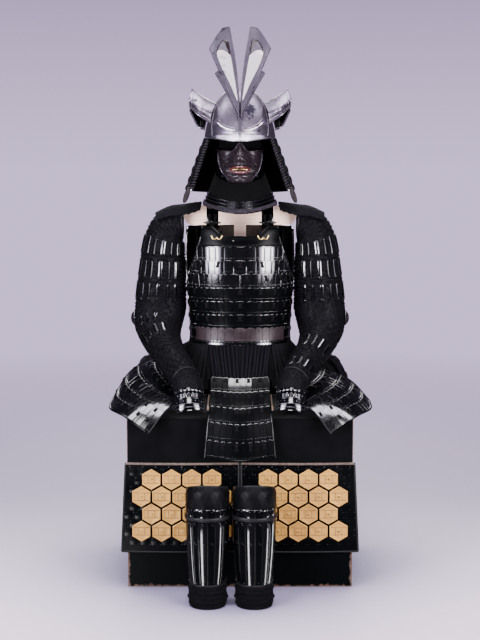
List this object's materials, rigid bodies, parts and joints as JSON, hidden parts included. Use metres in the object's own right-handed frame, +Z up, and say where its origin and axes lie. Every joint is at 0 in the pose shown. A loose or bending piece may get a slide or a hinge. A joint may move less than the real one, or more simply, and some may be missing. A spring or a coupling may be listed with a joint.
{
  "type": "samurai armour with its stand and storage chest",
  "caption": "Laced plate armour with helmet, mask, mailed sleeves, thigh and shin guards, hung on a wooden cross stand on its storage chest.",
  "frame": {"origin": "middle of the storage chest's flat underside, on the floor", "axes": "+Z up, the armour faces -Y, +X is the wearer's left"},
  "size_m": [0.801, 0.7123, 1.631],
  "materials": {
    "chest_lacquer": "satin black lacquer on wood, worn brown at the edges",
    "plain_wood": "plain pale wood",
    "stand_black": "black cloth over the head block",
    "black_lacquer": "gloss black lacquer over iron and rawhide, laced with dark cord",
    "gold_lacquer_panel": "black lacquered plates with a gold lacquer field",
    "black_cloth": "black cotton and hemp cloth",
    "mail_on_cloth": "dark iron mail sewn on black cloth",
    "silvered_iron": "tarnished silver",
    "russet_iron": "russet lacquered iron with red lips"
  },
  "bodies": {
    "root": {"ankle_cuff_left": "black_cloth", "ankle_cuff_right": "black_cloth", "breast_plate_top": "black_lacquer", "brow_ridge_left": "silvered_iron", "brow_ridge_right": "silvered_iron", "chest_body": "chest_lacquer", "chest_lid": "chest_lacquer", "crest_blade_left": "silvered_iron", "crest_blade_right": "silvered_iron", "crest_prong": "silvered_iron", "crest_wing_left": "silvered_iron", "crest_wing_right": "silvered_iron", "cuirass_back": "black_lacquer", "cuirass_front": "black_lacquer", "elbow_disc_left": "black_lacquer", "elbow_disc_right": "black_lacquer", "face_mask": "russet_iron", "forearm_guard_left": "black_lacquer", "forearm_guard_right": "black_lacquer", "hand_guard_left": "black_lacquer", "hand_guard_right": "black_lacquer", "helmet_bowl": "silvered_iron", "helmet_ear_left": "silvered_iron", "helmet_ear_right": "silvered_iron", "neck_guard": "black_lacquer", "neck_guard_tab_left": "black_lacquer", "neck_guard_tab_right": "black_lacquer", "shin_guard_left": "black_lacquer", "shin_guard_right": "black_lacquer", "shoulder_strap_left": "black_lacquer", "shoulder_strap_right": "black_lacquer", "shoulder_wing_left": "black_lacquer", "shoulder_wing_right": "black_lacquer", "sleeve_left": "mail_on_cloth", "sleeve_right": "mail_on_cloth", "stand_foot": "plain_wood", "stand_head": "stand_black", "stand_neck": "plain_wood", "stand_post": "plain_wood", "stand_shoulder_board": "plain_wood", "strap_toggle_left": "black_lacquer", "strap_toggle_right": "black_lacquer", "tasset_back": "black_lacquer", "tasset_front": "black_lacquer", "tasset_left_front": "black_lacquer", "tasset_left_rear": "black_lacquer", "tasset_right_front": "black_lacquer", "tasset_right_rear": "black_lacquer", "thigh_guard_apron": "black_cloth", "thigh_panel_left": "gold_lacquer_panel", "thigh_panel_right": "gold_lacquer_panel", "throat_guard": "black_lacquer", "upper_arm_guard_left": "black_lacquer", "upper_arm_guard_right": "black_lacquer"}
  },
  "joints": []
}
